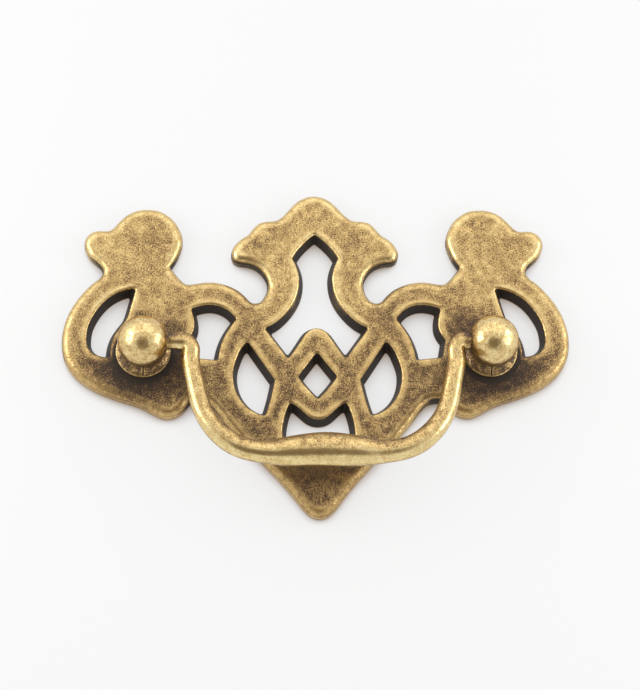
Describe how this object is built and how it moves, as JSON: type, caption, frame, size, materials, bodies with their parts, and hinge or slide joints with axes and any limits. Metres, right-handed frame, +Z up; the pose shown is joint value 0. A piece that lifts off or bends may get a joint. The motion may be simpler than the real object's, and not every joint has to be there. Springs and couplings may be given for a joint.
{
  "type": "bail pull with pierced backplate",
  "caption": "Drawer pull: a pierced, scrolled backplate with two ball posts that carry a swinging bail handle.",
  "frame": {"origin": "on the backplate's flat back, halfway between the axes of the two posts", "axes": "+Z up along the hanging plate, -Y out of its face towards the hand, +X to the viewer's right"},
  "size_m": [0.1118, 0.0161, 0.0746],
  "materials": {
    "plate_brass": "antique brass: brown patina on flats and in the holes, rounded edges burnished bright",
    "post_brass": "antique brass, ball burnished bright, brown patina at the foot",
    "bail_brass": "antique brass, burnished, fine brown speckle"
  },
  "bodies": {
    "plate_body": {"backplate": "plate_brass", "left_post": "post_brass", "right_post": "post_brass"},
    "bail_body": {"bail": "bail_brass"}
  },
  "joints": [
    {"name": "bail_swing", "type": "hinge", "parent": "plate_body", "child": "bail_body", "pos_m": [0, -0.0106, 0], "axis": [-1, 0, 0], "range_deg": [-7.5, 187.5]}
  ]
}
